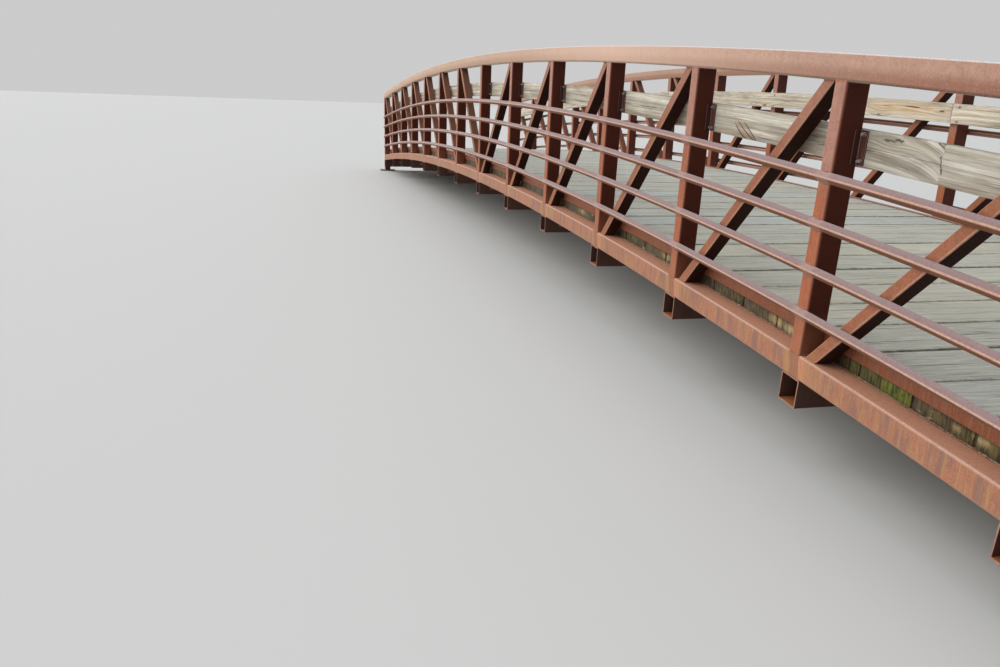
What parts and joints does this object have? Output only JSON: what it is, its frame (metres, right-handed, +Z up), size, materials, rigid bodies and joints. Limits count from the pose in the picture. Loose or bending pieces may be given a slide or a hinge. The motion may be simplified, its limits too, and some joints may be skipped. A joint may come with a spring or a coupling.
{
  "type": "trussed footbridge",
  "caption": "Low trussed footbridge with a gently arched steel frame, a timber plank deck, timber rub rails and slim safety rails along both sides.",
  "frame": {"origin": "centre of the bounding box in plan, on the ground under the bearing plates", "axes": "+X along the bridge towards the end with slotted anchor holes, +Y across from the near truss to the far truss, +Z up"},
  "size_m": [17.3584, 2.9566, 1.9058],
  "materials": {
    "weathering_steel": "matte rusted",
    "rail_steel": "matte rusted",
    "deck_timber": "weathered rough sawn",
    "rub_timber": "weathered planed"
  },
  "bodies": {
    "root": {"bottom_chord_near": "weathering_steel", "bottom_chord_far": "weathering_steel", "top_chord_near": "weathering_steel", "top_chord_far": "weathering_steel", "end_posts_near": "weathering_steel", "end_posts_far": "weathering_steel", "verticals_near": "weathering_steel", "verticals_far": "weathering_steel", "diagonals_near": "weathering_steel", "diagonals_far": "weathering_steel", "deck_edge_near": "weathering_steel", "deck_edge_far": "weathering_steel", "chord_end_caps": "weathering_steel", "floor_beams": "weathering_steel", "end_floor_beams": "weathering_steel", "stringer_1": "weathering_steel", "stringer_2": "weathering_steel", "stringer_3": "weathering_steel", "stringer_4": "weathering_steel", "wind_bracing": "weathering_steel", "bearing_posts": "weathering_steel", "bearing_plates_fixed": "weathering_steel", "bearing_plates_sliding": "weathering_steel", "rub_rail_brackets_near": "weathering_steel", "rub_rail_brackets_far": "weathering_steel", "safety_rail_1_near": "rail_steel", "safety_rail_2_near": "rail_steel", "safety_rail_3_near": "rail_steel", "safety_rail_4_near": "rail_steel", "safety_rail_1_far": "rail_steel", "safety_rail_2_far": "rail_steel", "safety_rail_3_far": "rail_steel", "safety_rail_4_far": "rail_steel", "deck_planks_left": "deck_timber", "deck_planks_middle": "deck_timber", "deck_planks_right": "deck_timber", "rub_rail_near": "rub_timber", "rub_rail_far": "rub_timber"}
  },
  "joints": []
}
